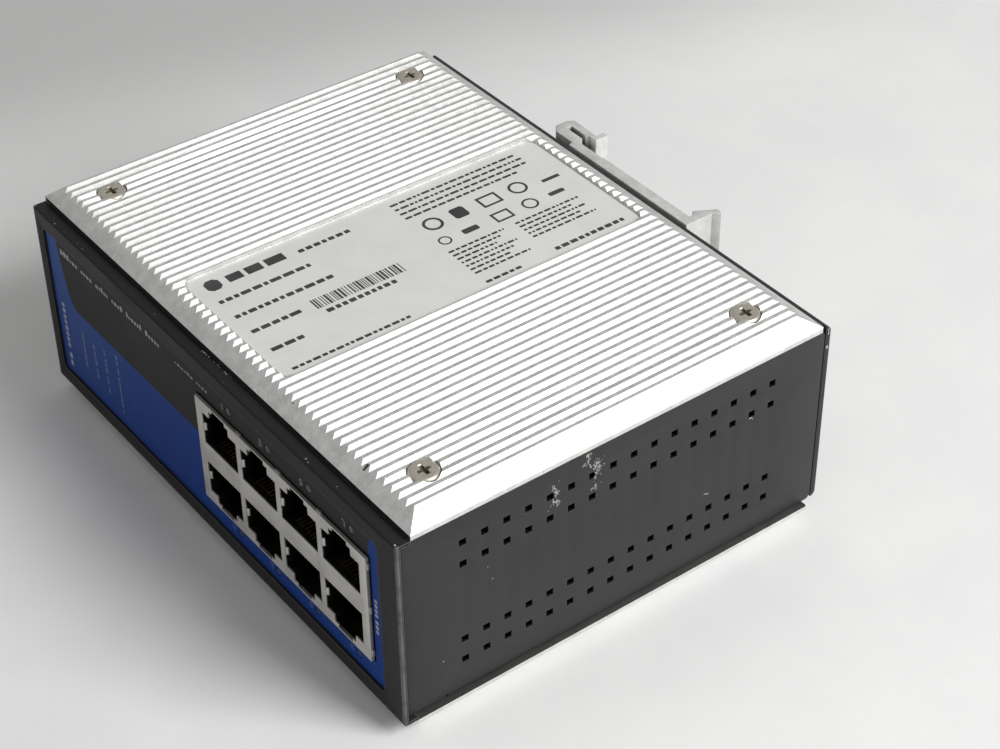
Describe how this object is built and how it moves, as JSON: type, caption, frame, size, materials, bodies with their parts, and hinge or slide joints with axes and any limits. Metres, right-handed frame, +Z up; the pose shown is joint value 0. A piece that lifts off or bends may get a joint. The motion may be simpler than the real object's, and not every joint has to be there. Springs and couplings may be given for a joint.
{
  "type": "din rail ethernet switch",
  "caption": "Flat metal-cased network switch with a finned plate, stacked port sockets on one edge, vented side covers and a rail clip behind.",
  "frame": {"origin": "middle of the whole part in plan, at the height of the resting face under the base plate", "axes": "+X along the port face towards the plain vented end, +Y towards the rail clip, +Z up through the finned plate"},
  "size_m": [0.135, 0.1144, 0.0529],
  "materials": {
    "cast_silver": "sand-blasted and clear anodised, silver",
    "film_silver": "satin printed film",
    "screw_nickel": "nickel-plated steel",
    "cover_black": "fine-grained black powder coat, chipped in places",
    "zinc_steel": "zinc-plated steel",
    "moulding_black": "fine-grained black moulding",
    "front_print": "satin printed film, charcoal and blue",
    "light_clear": "clear light guide",
    "board_green": "solder mask over glass fibre",
    "lamp_white": "moulded lamp chip",
    "shield_tin": "tin-plated sheet",
    "plug_black": "glass-filled black plastic",
    "contact_gold": "gold flash over bronze",
    "chip_black": "moulded epoxy",
    "pad_grey": "silicone gap pad",
    "can_dark": "shrunk sleeve",
    "ferrite": "pressed ferrite",
    "relay_blue": "moulded case",
    "crystal_can": "drawn can",
    "header_green": "green terminal shell",
    "lever_white": "white lever",
    "switch_red": "red switch body",
    "clip_silver": "extruded, clear anodised",
    "spring_steel": "spring steel"
  },
  "bodies": {
    "case": {"heatsink_plate": "cast_silver", "rating_label": "film_silver", "heatsink_screws": "screw_nickel", "base_plate": "cast_silver", "base_screws": "screw_nickel", "side_cover_vented": "cover_black", "side_cover_power": "cover_black", "clinch_nuts": "zinc_steel", "rear_panel": "cover_black", "rear_clinch_nuts": "zinc_steel", "front_cover": "moulding_black", "front_film": "front_print", "light_pipes": "light_clear", "light_board": "board_green", "status_lamps": "lamp_white", "port_shield": "shield_tin", "port_housing": "plug_black", "port_contacts": "contact_gold", "main_board": "board_green", "board_standoffs": "zinc_steel", "board_screws": "screw_nickel", "switch_chip": "chip_black", "thermal_pad": "pad_grey", "line_transformers": "chip_black", "capacitors": "can_dark", "power_coils": "ferrite", "alarm_relay": "relay_blue", "clock_crystal": "crystal_can", "power_header": "header_green", "power_header_pins": "contact_gold", "option_switch": "switch_red", "earth_screw": "screw_nickel", "earth_washer": "zinc_steel", "rail_clip": "clip_silver", "rail_clip_spring": "spring_steel", "rail_clip_screws": "screw_nickel"},
    "lever_1": {"option_lever_1": "lever_white"},
    "lever_2": {"option_lever_2": "lever_white"},
    "lever_3": {"option_lever_3": "lever_white"},
    "lever_4": {"option_lever_4": "lever_white"}
  },
  "joints": [
    {"name": "lever_1_slide", "type": "slide", "parent": "case", "child": "lever_1", "axis": [0, 0, 1], "range_m": [0, 0.0019]},
    {"name": "lever_2_slide", "type": "slide", "parent": "case", "child": "lever_2", "axis": [0, 0, 1], "range_m": [0, 0.0019]},
    {"name": "lever_3_slide", "type": "slide", "parent": "case", "child": "lever_3", "axis": [0, 0, 1], "range_m": [0, 0.0019]},
    {"name": "lever_4_slide", "type": "slide", "parent": "case", "child": "lever_4", "axis": [0, 0, 1], "range_m": [0, 0.0019]}
  ]
}
